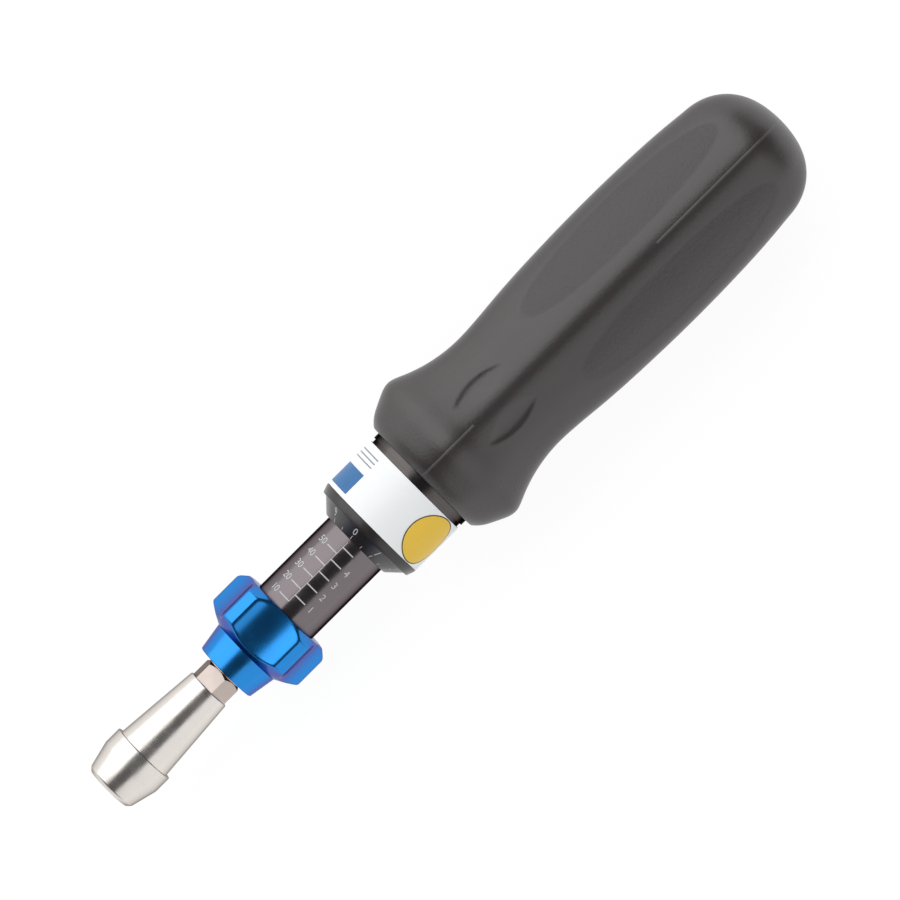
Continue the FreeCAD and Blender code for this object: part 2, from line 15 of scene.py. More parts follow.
import bpy
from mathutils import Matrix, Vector


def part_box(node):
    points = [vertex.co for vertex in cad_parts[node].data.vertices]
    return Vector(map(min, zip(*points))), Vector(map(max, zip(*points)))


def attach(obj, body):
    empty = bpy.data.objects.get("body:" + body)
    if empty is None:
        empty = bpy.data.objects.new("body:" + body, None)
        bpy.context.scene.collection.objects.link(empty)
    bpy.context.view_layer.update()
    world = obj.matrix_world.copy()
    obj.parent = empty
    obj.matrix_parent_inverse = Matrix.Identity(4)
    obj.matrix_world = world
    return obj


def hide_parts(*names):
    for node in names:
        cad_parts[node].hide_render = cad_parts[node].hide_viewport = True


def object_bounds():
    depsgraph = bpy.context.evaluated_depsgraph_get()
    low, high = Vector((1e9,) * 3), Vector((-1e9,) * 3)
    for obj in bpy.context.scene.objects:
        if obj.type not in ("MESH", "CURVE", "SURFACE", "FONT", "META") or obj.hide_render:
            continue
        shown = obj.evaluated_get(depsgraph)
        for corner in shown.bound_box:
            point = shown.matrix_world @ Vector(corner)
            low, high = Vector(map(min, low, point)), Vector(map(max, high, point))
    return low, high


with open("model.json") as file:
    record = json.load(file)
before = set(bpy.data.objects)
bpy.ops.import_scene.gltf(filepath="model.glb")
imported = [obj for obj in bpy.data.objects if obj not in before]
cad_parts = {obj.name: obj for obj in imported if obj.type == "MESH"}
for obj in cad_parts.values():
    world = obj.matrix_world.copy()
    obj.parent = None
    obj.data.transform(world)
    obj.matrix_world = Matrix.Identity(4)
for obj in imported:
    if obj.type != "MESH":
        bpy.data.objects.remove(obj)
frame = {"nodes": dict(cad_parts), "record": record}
cad_box = [list(corner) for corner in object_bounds()]
nodes = frame["nodes"]
mm = 0.001
print("pieces in the packed model:", len(nodes))

# %% [markdown]
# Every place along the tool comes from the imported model's boxes. `front` and `rear` give a
# node's two ends along X in millimetres, and `reach` gives how far it stands from the axis.

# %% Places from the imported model
def front(node):
    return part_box(node)[0].x / mm


def rear(node):
    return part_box(node)[1].x / mm


def reach(node):
    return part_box(node)[1].z / mm


print("handle ends at", round(rear("grip"), 2), "mm")

# %% [markdown]
# A material is a net of nodes. One small function adds a node, sets its choices and its socket
# values, and links it to the nodes before it. A second one turns a colour written as sRGB hex,
# as a paint chart gives it, to the linear numbers that Blender works in.

# %% Helpers for materials
def linear(hex_colour):
    """A colour such as #8090A0 as Blender's linear red, green, blue and alpha."""
    channels = [int(hex_colour[i:i + 2], 16) / 255 for i in (1, 3, 5)]
    straight = [c / 12.92 if c <= 0.04045 else ((c + 0.055) / 1.055) ** 2.4 for c in channels]
    return (*straight, 1.0)


def add_node(material, kind, sockets=None, **settings):
    """Adds a node. A socket takes a value, or the output of another node."""
    node = material.node_tree.nodes.new(kind)
    for name, value in settings.items():
        setattr(node, name, value)
    for name, value in (sockets or {}).items():
        if isinstance(value, bpy.types.NodeSocket):
            material.node_tree.links.new(value, node.inputs[name])
        else:
            node.inputs[name].default_value = value
    return node


def new_material(name):
    """An empty material, its shader's sockets still to be set."""
    material = bpy.data.materials.new(name)
    material.use_nodes = True
    material.node_tree.nodes.clear()
    return material


def finish_material(material, **sockets):
    """Ends a material with its surface shader."""
    named = {name.replace("_", " "): value for name, value in sockets.items()}
    shader = add_node(material, "ShaderNodeBsdfPrincipled", named)
    add_node(material, "ShaderNodeOutputMaterial", {"Surface": shader.outputs[0]})
    return material


# %% [markdown]
# ## The stage
#
# The tool lies on a plain white table and is seen from straight above, with its axis turned
# 45 degrees up to the right. A long lens far away keeps the sides of the tool parallel.

# %% Camera
camera_turn = math.radians(-44.86)  # turns the tool on the view, up to the right
view_width = 0.1452
lens = 200.0
sensor = 36.0
camera_height = view_width * lens / sensor
view_centre = Vector((0.07755, -0.00011, 0.0))

camera_data = bpy.data.cameras.new("camera")
camera_data.lens = lens
camera_data.sensor_width = sensor
camera = bpy.data.objects.new("camera", camera_data)
camera.location = view_centre + Vector((0, 0, camera_height))
camera.rotation_euler = (0, 0, camera_turn)
bpy.context.scene.collection.objects.link(camera)
bpy.context.scene.camera = camera
bpy.context.scene.view_settings.view_transform = "Standard"
print("camera stands", round(camera_height, 3), "m above the tool")

# %% [markdown]
# Polished round metal shows its surroundings as stripes. Two long soft boxes, one on each side
# of the camera, give the two bright stripes, and the dark gap between them gives the dark line
# down the middle. The boxes stand on a circle round the tool, so their angles can be read as
# degrees from straight up. A third, weaker lamp over the tool lights only what isn't mirrored.

# %% Lamps
def soft_box(name, angle, distance, width, length, radiance):
    """A long lamp beside the tool, tilted to it. The angle is in degrees from the top, to +Y."""
    lamp = bpy.data.lights.new(name, "AREA")
    lamp.shape = "RECTANGLE"
    lamp.size = length
    lamp.size_y = width
    lamp.energy = radiance * math.pi * length * width
    lamp_object = bpy.data.objects.new(name, lamp)
    lean = math.radians(angle)
    offset = Vector((0, math.sin(lean), math.cos(lean))) * distance
    lamp_object.location = view_centre + offset
    lamp_object.rotation_euler = (-lean, 0, 0)
    bpy.context.scene.collection.objects.link(lamp_object)
    return lamp_object


soft_box("soft box left", angle=57, distance=1.0, width=1.62, length=2.0, radiance=1.65)
soft_box("soft box right", angle=-62, distance=1.0, width=1.3, length=2.0, radiance=0.9)

# The third lamp hangs over the tool. It lights paint and plastic, but polished metal doesn't
# mirror it, so the dark line stays dark.
overhead = soft_box("overhead fill", angle=0, distance=1.0, width=1.2, length=1.6, radiance=0.55)
overhead.visible_glossy = False

room_light = 0.10

world = bpy.data.worlds.new("studio")
world.use_nodes = True
background = world.node_tree.nodes["Background"]
background.inputs["Color"].default_value = linear("#FFFFFF")
background.inputs["Strength"].default_value = room_light
bpy.context.scene.world = world

# %% [markdown]
# The table is white paper. What the camera sees of it, directly or in polished metal, is mostly
# a plain white, and the rest is the real surface, which keeps the soft shadow of the tool.

# %% Table
floor_level = cad_box[0][2]
floor_size = 6.0
plain_white_share = 0.86
plain_white_strength = 1.06

paper = new_material("white table paper")
light_path = add_node(paper, "ShaderNodeLightPath")
seen = add_node(paper, "ShaderNodeMath", {
    0: light_path.outputs["Is Camera Ray"],
    1: light_path.outputs["Is Glossy Ray"],
}, operation="MAXIMUM")
seen_at_all = add_node(paper, "ShaderNodeMath", {
    0: seen.outputs[0],
    1: light_path.outputs["Is Transmission Ray"],
}, operation="MAXIMUM")
share = add_node(paper, "ShaderNodeMath", {
    0: seen_at_all.outputs[0],
    1: plain_white_share,
}, operation="MULTIPLY")
glow = add_node(paper, "ShaderNodeEmission", {
    "Color": linear("#FFFFFF"), "Strength": plain_white_strength,
})
plain = add_node(paper, "ShaderNodeBsdfDiffuse", {"Color": linear("#F2F2F2")})
mixed = add_node(paper, "ShaderNodeMixShader", {
    0: share.outputs[0],
    1: plain.outputs[0],
    2: glow.outputs[0],
})
add_node(paper, "ShaderNodeOutputMaterial", {"Surface": mixed.outputs[0]})

bpy.ops.object.select_all(action="DESELECT")
bpy.ops.mesh.primitive_plane_add(size=floor_size, location=(0, 0, floor_level))
table = bpy.context.object
table.name = "table"
table.data.materials.append(paper)
print("table lies at", round(floor_level / mm, 2), "mm")

# %% [markdown]
# ## Finishes
#
# The bit holder and the hexagon shaft are stainless steel, turned and ground. The cutter leaves
# fine rings round the axis, which stretch a highlight across them. Real turning marks are a few
# hundredths of a millimetre apart, too fine to show here, so they are drawn 0.25 to 0.5 mm
# apart. The scale tube is dark chrome, the body tube behind the thimble is black nickel, and the
# other metals are those of the pieces inside.

# %% Turned metal
def ring_marks(material, spacing, depth):
    """Normal with fine rings round the X axis, uneven as a cutter leaves them."""
    place = add_node(material, "ShaderNodeTexCoord")
    along = add_node(material, "ShaderNodeMapping", {
        "Vector": place.outputs["Object"], "Scale": (1, 0.02, 0.02),
    })
    rings = add_node(material, "ShaderNodeTexNoise", {
        "Vector": along.outputs[0],
        "Scale": 1 / (spacing * mm),
        "Detail": 2.0,
        "Roughness": 0.6,
    })
    bump = add_node(material, "ShaderNodeBump", {
        "Height": rings.outputs["Fac"],
        "Distance": depth * mm,
        "Strength": 1.0,
    })
    return bump.outputs["Normal"]


def worn_roughness(material, low, high, spacing):
    """Roughness that drifts between two values, as handling and machining leave it."""
    place = add_node(material, "ShaderNodeTexCoord")
    drift = add_node(material, "ShaderNodeTexNoise", {
        "Vector": place.outputs["Object"],
        "Scale": 1 / (spacing * mm),
        "Detail": 4.0,
    })
    spread = add_node(material, "ShaderNodeMapRange", {
        "Value": drift.outputs["Fac"],
        "From Min": 0.35,
        "From Max": 0.65,
        "To Min": low,
        "To Max": high,
    })
    return spread.outputs[0]


def turned_metal(name, colour, low, high, spacing=0.25, depth=0.0006, edge="#8E8A86"):
    """Bare metal. The edge colour is a painted reflection where the metal curves out of sight: for
    the bright metals a darker grey, in place of the shadowed table mirrored there.
    """
    material = new_material(name)
    return finish_material(
        material, Base_Color=linear(colour), Metallic=1.0, Specular_Tint=linear(edge),
        Roughness=worn_roughness(material, low, high, 3.0),
        Normal=ring_marks(material, spacing, depth),
    )


# Each metal's edge colour, the default grey or the last colour given, is a painted reflection where
# it curves out of sight.
stainless = turned_metal("stainless steel, fine turned", "#E2DCD7", 0.22, 0.30, 0.3, 0.0014)
ground_steel = turned_metal("stainless steel, ground hexagon", "#BBAFA8", 0.24, 0.34)
dark_chrome = turned_metal("hard chrome, dark satin", "#777073", 0.16, 0.24, 0.4, 0.0008, "#4A4648")
black_nickel = turned_metal(
    "black nickel plate, bright", "#5C5857", 0.2, 0.3, 0.4, 0.0003, "#2E2C2C"
)
hardened_steel = turned_metal("hardened tool steel, ground", "#9A9792", 0.25, 0.4)
spring_wire = turned_metal("spring steel wire, drawn", "#8F8C88", 0.3, 0.45)
bright_balls = turned_metal("bearing steel, lapped", "#D5D3D0", 0.05, 0.1, 0.5, 0.0001)
bearing_bronze = turned_metal("sintered bronze, sized", "#A97B4A", 0.4, 0.55)
nickel = turned_metal("nickel plate, bright", "#C9C4B8", 0.12, 0.2)
black_screw = turned_metal("alloy steel screw, black oxide", "#3A3838", 0.3, 0.4)
print("metals:", len(bpy.data.materials) - 1)

# %% [markdown]
# The knob is aluminium, anodised and dyed blue. The dye sits in a clear, glassy oxide film over
# bright metal, so the blue is a metal's colour and the film adds a thin white gloss.

# %% Blue anodised aluminium
blue_anodised = new_material("anodised aluminium, dyed blue")
finish_material(
    blue_anodised, Base_Color=linear("#1786D6"), Metallic=1.0,
    # The dark blue edge colour is a painted darker reflection where the knob curves out of sight,
    # in place of the shadowed table mirrored there.
    Specular_Tint=linear("#1B5796"),
    Roughness=worn_roughness(blue_anodised, 0.2, 0.28, 4.0),
    Normal=ring_marks(blue_anodised, 0.35, 0.0004),
    Coat_Weight=0.5, Coat_Roughness=0.18, Coat_IOR=1.5,
)
print("made", blue_anodised.name)

# %% [markdown]
# The thimble is aluminium, anodised black: dark, with a soft grey shine where the boxes are
# mirrored.

# %% Black anodised aluminium
black_anodised = new_material("anodised aluminium, dyed black")
finish_material(
    black_anodised, Base_Color=linear("#2B2728"), Metallic=0.35,
    Roughness=worn_roughness(black_anodised, 0.28, 0.36, 3.0),
    Normal=ring_marks(black_anodised, 0.3, 0.0004), Specular_IOR_Level=0.9,
)
print("made", black_anodised.name)

# %% [markdown]
# The label is a white polyester film, and the dot is a yellow one. Both have a slight satin
# grain, drawn 0.3 mm coarse, and a soft gloss. The inks, the paint in the marks and the rubber
# seal are thin soft layers of the same kind, each in two near tones.

# %% Label films
def film(name, tones, roughness):
    """A soft satin layer whose grain runs between two near tones."""
    material = new_material(name)
    place = add_node(material, "ShaderNodeTexCoord")
    grain = add_node(material, "ShaderNodeTexNoise", {
        "Vector": place.outputs["Object"], "Scale": 1 / (0.3 * mm), "Detail": 3.0,
    })
    tint = add_node(material, "ShaderNodeMixRGB", {
        "Fac": grain.outputs["Fac"],
        "Color1": linear(tones[0]),
        "Color2": linear(tones[1]),
    })
    bump = add_node(material, "ShaderNodeBump", {
        "Height": grain.outputs["Fac"], "Distance": 0.002 * mm, "Strength": 1.0,
    })
    return finish_material(
        material, Base_Color=tint.outputs[0], Roughness=roughness, IOR=1.5,
        Normal=bump.outputs["Normal"],
    )


white_film = film("polyester film, satin white", ("#F3F5F6", "#EEF1F3"), 0.4)
yellow_film = film("polyester film, satin yellow", ("#F2C93C", "#EBC035"), 0.4)
blue_ink = film("printing ink, blue", ("#2E6FA8", "#2A679E"), 0.45)
grey_ink = film("printing ink, grey", ("#8A8F94", "#83888D"), 0.45)
black_ink = film("printing ink, black", ("#2A2A2C", "#262628"), 0.45)
pale_ink = film("engraving paint, pale grey", ("#C4C3C4", "#BDBCBD"), 0.5)
rubber = film("nitrile rubber, moulded", ("#1B1A1A", "#171616"), 0.6)
print("materials so far:", len(bpy.data.materials))

# %% [markdown]
# The handle is a tough plastic, moulded in a mould whose wall was sparked to a fine grain. The
# grain breaks up the shine into a soft grey. Its real cells are about 0.1 mm, too fine to show,
# so they are drawn 0.45 mm wide, and 0.7 mm wide in the oval grip patches. A painted attribute
# marks the patches, which are grained more deeply and look a little darker. A thin moulding seam
# runs along the top ridge at the handle's two ends.

# %% Moulded plastic
grain_width = 0.45
patch_grain_width = 0.7
tone_width = 9.0
seam_half_width = 0.22
seam_stops = 83.0
seam_starts_again = 124.0

grip_plastic = new_material("polyamide, moulded with spark grain")
grip_place = add_node(grip_plastic, "ShaderNodeTexCoord")
patch_mask = add_node(grip_plastic, "ShaderNodeAttribute", attribute_name="patch")
fine_grain = add_node(grip_plastic, "ShaderNodeTexNoise", {
    "Vector": grip_place.outputs["Object"], "Scale": 1 / (grain_width * mm),
    "Detail": 3.0, "Roughness": 0.6,
})
coarse_grain = add_node(grip_plastic, "ShaderNodeTexNoise", {
    "Vector": grip_place.outputs["Object"], "Scale": 1 / (patch_grain_width * mm),
    "Detail": 4.0, "Roughness": 0.75,
})
slow_tone = add_node(grip_plastic, "ShaderNodeTexNoise", {
    "Vector": grip_place.outputs["Object"], "Scale": 1 / (tone_width * mm),
    "Detail": 2.0,
})
plastic_tone = add_node(grip_plastic, "ShaderNodeMixRGB", {
    "Fac": slow_tone.outputs["Fac"],
    "Color1": linear("#2B2425"),
    "Color2": linear("#312A2B"),
})
patch_tone = add_node(grip_plastic, "ShaderNodeMixRGB", {
    "Fac": patch_mask.outputs["Fac"],
    "Color1": plastic_tone.outputs[0],
    "Color2": linear("#282122"),
})
grain_height = add_node(grip_plastic, "ShaderNodeMixRGB", {
    "Fac": patch_mask.outputs["Fac"],
    "Color1": fine_grain.outputs["Fac"],
    "Color2": coarse_grain.outputs["Fac"],
})
grain_depth = add_node(grip_plastic, "ShaderNodeMapRange", {
    "Value": patch_mask.outputs["Fac"], "To Min": 0.035 * mm, "To Max": 0.16 * mm,
})
grain_bump = add_node(grip_plastic, "ShaderNodeBump", {
    "Height": grain_height.outputs[0], "Distance": grain_depth.outputs[0], "Strength": 1.0,
})
across = add_node(grip_plastic, "ShaderNodeSeparateXYZ", {0: grip_place.outputs["Object"]})
off_seam = add_node(
    grip_plastic, "ShaderNodeMath", {0: across.outputs["Y"]}, operation="ABSOLUTE"
)
seam = add_node(grip_plastic, "ShaderNodeMapRange", {
    "Value": off_seam.outputs[0], "From Max": seam_half_width * mm,
    "To Min": 1.0, "To Max": 0.0,
}, interpolation_type="SMOOTHSTEP")
at_front = add_node(grip_plastic, "ShaderNodeMath", {
    0: across.outputs["X"], 1: seam_stops * mm,
}, operation="LESS_THAN")
at_rear = add_node(grip_plastic, "ShaderNodeMath", {
    0: across.outputs["X"], 1: seam_starts_again * mm,
}, operation="GREATER_THAN")
at_ends = add_node(grip_plastic, "ShaderNodeMath", {
    0: at_front.outputs[0], 1: at_rear.outputs[0],
}, operation="MAXIMUM")
seam_height = add_node(grip_plastic, "ShaderNodeMath", {
    0: seam.outputs[0], 1: at_ends.outputs[0],
}, operation="MULTIPLY")
seam_bump = add_node(grip_plastic, "ShaderNodeBump", {
    "Height": seam_height.outputs[0], "Distance": 0.1 * mm, "Strength": 1.0,
    "Normal": grain_bump.outputs["Normal"],
})
grip_shine = add_node(grip_plastic, "ShaderNodeMapRange", {
    "Value": patch_mask.outputs["Fac"], "To Min": 0.36, "To Max": 0.42,
})
finish_material(
    grip_plastic, Base_Color=patch_tone.outputs[0], Roughness=grip_shine.outputs[0],
    IOR=1.53, Specular_IOR_Level=0.75, Normal=seam_bump.outputs["Normal"],
)
print("made", grip_plastic.name)

# %% [markdown]
# The tubes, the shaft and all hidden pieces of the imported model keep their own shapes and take
# the finish that their material slot names.

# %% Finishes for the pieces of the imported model
finish_of_slot = {
    "holder_steel": stainless,
    "magnet_nickel": nickel,
    "spring_steel": spring_wire,
    "spindle_steel": ground_steel,
    "bronze": bearing_bronze,
    "hardened_steel": hardened_steel,
    "ball_steel": bright_balls,
    "scale_chrome": dark_chrome,
    "knob_blue": blue_anodised,
    "thimble_black": black_anodised,
    "black_screw": black_screw,
    "body_black": black_nickel,
    "seal_rubber": rubber,
    "label_white": white_film,
    "marker_yellow": yellow_film,
    "grip_plastic": grip_plastic,
}
slot_of_node = {
    entry["node"]: entry["material_slot"] for entry in frame["record"]["subparts"]
}
for node, slot_name in slot_of_node.items():
    for material_slot in nodes[node].material_slots:
        material_slot.material = finish_of_slot[slot_name]
print("finishes:", len(finish_of_slot), "on", len(slot_of_node), "nodes")

# %% [markdown]
# ## Turned pieces
#
# Most of this tool came off a lathe. A turned piece starts as a circle across the axis. Its ring
# is extruded along the axis and resized, again and again, so that it follows the profile, and
# the last ring is bridged to the first to close the wall. A bevel rounds the edges that a real
# tool leaves slightly blunt, and smooth shading stops at the sharp ones.

# %% Helpers for modelling
def clear_selection():
    """Leaves nothing selected, so that an operator meets only its own piece."""
    if bpy.context.object and bpy.context.object.mode != "OBJECT":
        bpy.ops.object.mode_set(mode="OBJECT")
    bpy.ops.object.select_all(action="DESELECT")


def choose(piece):
    """Makes one piece the selected and active one."""
    clear_selection()
    piece.select_set(True)
    bpy.context.view_layer.objects.active = piece


def settle(piece):
    """Moves the piece's place, turn and size into its mesh."""
    choose(piece)
    bpy.ops.object.transform_apply(location=True, rotation=True, scale=True)


def apply_modifier(piece, kind, **settings):
    """Adds a modifier, sets it and applies it."""
    choose(piece)
    modifier = piece.modifiers.new(kind.lower(), kind)
    for name, value in settings.items():
        setattr(modifier, name, value)
    bpy.ops.object.modifier_apply(modifier=modifier.name)


smallest_gap = 0.0005


def point_outwards(piece):
    """Merges doubled points and turns all faces outwards."""
    choose(piece)
    bpy.ops.object.mode_set(mode="EDIT")
    bpy.ops.mesh.select_all(action="SELECT")
    bpy.ops.mesh.remove_doubles(threshold=smallest_gap * mm)
    bpy.ops.mesh.normals_make_consistent(inside=False)
    bpy.ops.object.mode_set(mode="OBJECT")


def blunt_edges(piece, width, segments=3, sharper_than=25):
    """Rounds the edges that turn by more than an angle, in degrees."""
    apply_modifier(
        piece, "BEVEL", width=width * mm, segments=segments, limit_method="ANGLE",
        angle_limit=math.radians(sharper_than), use_clamp_overlap=True,
    )


def finish_piece(piece, material, body, slot_name, *replaced, smooth_below=35):
    """Shades the piece, gives it its finish and lets it ride on its body."""
    choose(piece)
    bpy.ops.object.shade_smooth_by_angle(angle=math.radians(smooth_below))
    piece.data.materials.clear()
    piece.data.materials.append(material)
    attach(piece, body)
    if replaced:
        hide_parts(*replaced)
    print(piece.name, "has", len(piece.data.polygons), "faces")
    return piece


def ring(name, x, radius, steps):
    """A circle across the axis, with one of its points at the top."""
    clear_selection()
    bpy.ops.mesh.primitive_circle_add(
        vertices=steps, radius=radius * mm, location=(x * mm, 0, 0),
        rotation=(0, math.radians(90), 0),
    )
    piece = bpy.context.object
    piece.name = name
    settle(piece)
    return piece


def extrude_ring(x, radius, next_x, next_radius):
    """Extrudes the selected ring along the axis and resizes it there."""
    bpy.ops.mesh.extrude_edges_move(
        TRANSFORM_OT_translate={"value": ((next_x - x) * mm, 0, 0)}
    )
    share = next_radius / radius
    bpy.ops.transform.resize(value=(1, share, share), center_override=(next_x * mm, 0, 0))


def turned(name, profile, steps=144):
    """A turned piece from (place, radius) points. A profile that ends where it began is hollow."""
    hollow = profile[0] == profile[-1]
    points = profile[:-1] if hollow else profile
    piece = ring(name, *points[0], steps)
    bpy.ops.object.mode_set(mode="EDIT")
    bpy.ops.mesh.select_all(action="SELECT")
    for here, there in zip(points, points[1:]):
        extrude_ring(*here, *there)
    bpy.ops.mesh.select_all(action="DESELECT")
    bpy.ops.mesh.select_mode(type="EDGE")
    bpy.ops.mesh.select_non_manifold()
    if hollow:
        bpy.ops.mesh.bridge_edge_loops()
    else:
        bpy.ops.mesh.fill_holes(sides=0)
    bpy.ops.object.mode_set(mode="OBJECT")
    point_outwards(piece)
    return piece


def cut_away(piece, cutter):
    """Cuts one piece's shape out of another, and removes the cutter."""
    apply_modifier(piece, "BOOLEAN", operation="DIFFERENCE", object=cutter, solver="EXACT")
    bpy.data.objects.remove(cutter, do_unlink=True)


# %% [markdown]
# The bit holder is one long cone, with a wider head whose front is chamfered. Its mouth is a
# hexagon socket for a quarter inch bit. The socket is cut with a six-sided bar. The magnet and
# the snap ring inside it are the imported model's own pieces.

# %% Bit holder
holder_rear = rear("bit_holder")
mouth_r = 3.954
mouth_chamfer = 0.65
head_r = 5.70
head_front = 5.0
head_rear = 8.06
cone_front_r = 5.03
cone_rear_r = 3.866
rear_chamfer = (0.2, 0.1)
socket_depth = 12.5
socket_lead = 0.5
socket_corner_r = 6.45 / math.sqrt(3)  # a quarter inch hexagon with 0.1 mm of room
hexagon_turn = 12.5

holder = turned("bit_holder_body", [
    (0.0, mouth_r), (mouth_chamfer, mouth_r + mouth_chamfer), (head_front, head_r),
    (head_rear, head_r), (head_rear, cone_front_r),
    (holder_rear - rear_chamfer[0], cone_rear_r), (holder_rear, cone_rear_r - rear_chamfer[1]),
])
socket = ring("socket_cutter", -socket_lead, socket_corner_r, 6)
bpy.ops.object.mode_set(mode="EDIT")
bpy.ops.mesh.select_all(action="SELECT")
bpy.ops.mesh.edge_face_add()
bpy.ops.mesh.extrude_region_move(
    TRANSFORM_OT_translate={"value": ((socket_depth + socket_lead) * mm, 0, 0)}
)
bpy.ops.mesh.select_all(action="SELECT")
bpy.ops.mesh.normals_make_consistent(inside=False)
bpy.ops.object.mode_set(mode="OBJECT")
socket.rotation_euler.x = math.radians(hexagon_turn)
settle(socket)
blunt_edges(holder, 0.14, sharper_than=8)
cut_away(holder, socket)
finish_piece(holder, stainless, "driver", "holder_steel", "bit_holder")

# %% [markdown]
# The knob is turned from blue bar and then milled: five wide scallops leave five lobes to grip,
# and its edges are tumbled round. Here it is turned with many rings, and then each point comes
# in to the lower of two heights: the turned profile and the scallop's floor. Where the two
# heights are nearly the same they blend, and that makes the round edge.

# %% Knob outline
knob_front = front("lock_knob")
knob_rear = rear("lock_knob")
knob_r = 9.95
boss_front_r = 5.53
boss_rear_r = 6.3
boss_length = 4.7
flare_length = 1.9
chamfer_front = 13.55
chamfer_length = 1.15
chamfer_rear_r = 8.5
no_scallop = 100.0
flare_front = knob_front + boss_length
tube_room_r = 6.05
tube_room_front = flare_front + 2.8
scallop_r = 12.0
scallop_floor_r = 7.75
scallop_middle = scallop_floor_r + scallop_r
knob_edge = 0.55


def lower_of(a, b, blend):
    """The lower of two heights, with a round change from one to the other."""
    nearness = max(blend - abs(a - b), 0) / blend
    return min(a, b) - nearness ** 2 * blend / 4


def turned_height(x):
    """The knob's turned profile at a distance from its front face."""
    if x <= boss_length:
        return boss_front_r + (boss_rear_r - boss_front_r) * x / boss_length
    flare = boss_rear_r + (x - boss_length) * (knob_r - boss_rear_r) / flare_length
    fall = (x - chamfer_front) * (knob_r - chamfer_rear_r) / chamfer_length
    chamfer = chamfer_rear_r - fall
    return lower_of(lower_of(flare, knob_r, knob_edge), chamfer, knob_edge)


def scallop_height(angle):
    """The scallop's floor at an angle in degrees from its middle; beside it, far outside."""
    turn = math.radians(angle)
    across = scallop_middle * math.sin(turn)
    if abs(across) >= scallop_r:
        return no_scallop
    return scallop_middle * math.cos(turn) - math.sqrt(scallop_r ** 2 - across ** 2)


print("knob runs from", round(knob_front, 2), "to", round(knob_rear, 2), "mm")


# %% Knob
shaft_room_r = 3.97
knob_chamfer = 0.15
boss_rings = 9
lobe_rings = 44
lobe_length = 9.0
lobes = 5
lobe_angle = 360 / lobes

knob_profile = [
    (knob_front, shaft_room_r), (knob_front, boss_front_r - knob_chamfer),
    (knob_front + knob_chamfer, turned_height(knob_chamfer)),
]
for index in range(1, boss_rings + 1):
    x = boss_length * index / boss_rings
    knob_profile.append((knob_front + x, turned_height(x)))
for index in range(1, lobe_rings + 1):
    x = boss_length + lobe_length * index / lobe_rings
    knob_profile.append((knob_front + x, turned_height(x)))
knob_profile += [
    (knob_rear - 0.05, 8.1), (knob_rear, 7.9), (knob_rear, tube_room_r),
    (tube_room_front, tube_room_r), (tube_room_front, 4.2),
    (knob_front + 3.0, shaft_room_r), (knob_front, shaft_room_r),
]
knob = turned("knob", knob_profile, steps=360)
for point in knob.data.vertices:
    radius = math.hypot(point.co.y, point.co.z) / mm
    angle = math.degrees(math.atan2(-point.co.y, point.co.z))
    if radius > boss_rear_r and point.co.x / mm > flare_front:
        off_scallop = (angle + lobe_angle / 2) % lobe_angle - lobe_angle / 2
        milled = lower_of(radius, scallop_height(off_scallop), knob_edge)
        point.co.y *= milled / radius
        point.co.z *= milled / radius
finish_piece(knob, blue_anodised, "knob", "knob_blue", "lock_knob")

# %% [markdown]
# The thimble is the black cone that shows the fine setting. Its cone ends in a small step, and
# behind that its rim grows to the full width of the body. The two holes for its set screws are
# drilled from the sides.

# %% Thimble
thimble_front = front("thimble")
body_r = reach("body_tube")
label_front = front("label_band") - 0.05
cone_rear = thimble_front + 2.2
tube_r = 6.0
tube_hole_r = 6.2
dial_front_r = 6.6
dial_rear_r = 8.9
rim_front_r = 9.5
body_room_r = 7.42
body_room_front = thimble_front + 1.5
screw_x = label_front - 0.95
screw_hole_r = 0.8
drill_length = 6.0
drill_middle_r = 9.0

thimble = turned("thimble_body", [
    (thimble_front, tube_hole_r), (thimble_front, dial_front_r), (cone_rear, dial_rear_r),
    (cone_rear, rim_front_r), (label_front - 0.25, body_r), (label_front, body_r),
    (label_front, body_room_r), (body_room_front, body_room_r),
    (body_room_front, tube_hole_r), (thimble_front, tube_hole_r),
])
blunt_edges(thimble, 0.1)
for angle in (120, 240):
    lean = math.radians(angle)
    clear_selection()
    bpy.ops.mesh.primitive_cylinder_add(
        vertices=48, radius=screw_hole_r * mm, depth=drill_length * mm,
        location=(
            screw_x * mm,
            -drill_middle_r * mm * math.sin(lean),
            drill_middle_r * mm * math.cos(lean),
        ),
        rotation=(lean, 0, 0),
    )
    drill = bpy.context.object
    settle(drill)
    cut_away(thimble, drill)
finish_piece(thimble, black_anodised, "handle", "thimble_black", "thimble")

# %% [markdown]
# The label is a strip of white film that lies in a shallow land round the body.

# %% Label band
label_rear = rear("label_band") + 0.05
label_r = reach("label_band")
film_thickness = 0.1
film_front = label_front + 0.05
film_rear = label_rear - 0.05

label = turned("label_film", [
    (film_front, label_r - film_thickness), (film_front, label_r),
    (film_rear, label_r), (film_rear, label_r - film_thickness),
    (film_front, label_r - film_thickness),
], steps=192)
finish_piece(label, white_film, "handle", "label_white", "label_band")

# %% [markdown]
# ## Marks and prints
#
# A mark is drawn flat above the tool and then rolled onto it: a point's distance across the axis
# becomes its distance round the surface. The surface may be a cone, so the radius is asked for
# at each place along the axis. Afterwards the flat mark gets its thickness.

# %% Helpers for marks
def roll_on(piece, radius_at, lean=0.0, lift=0.02):
    """Rolls a flat piece onto a round surface. Lean is its middle's angle from the top, to +Y."""
    settle(piece)
    for point in piece.data.vertices:
        radius = (radius_at(point.co.x / mm) + lift) * mm
        angle = point.co.y / radius + math.radians(lean)
        point.co.y = radius * math.sin(angle)
        point.co.z = radius * math.cos(angle)


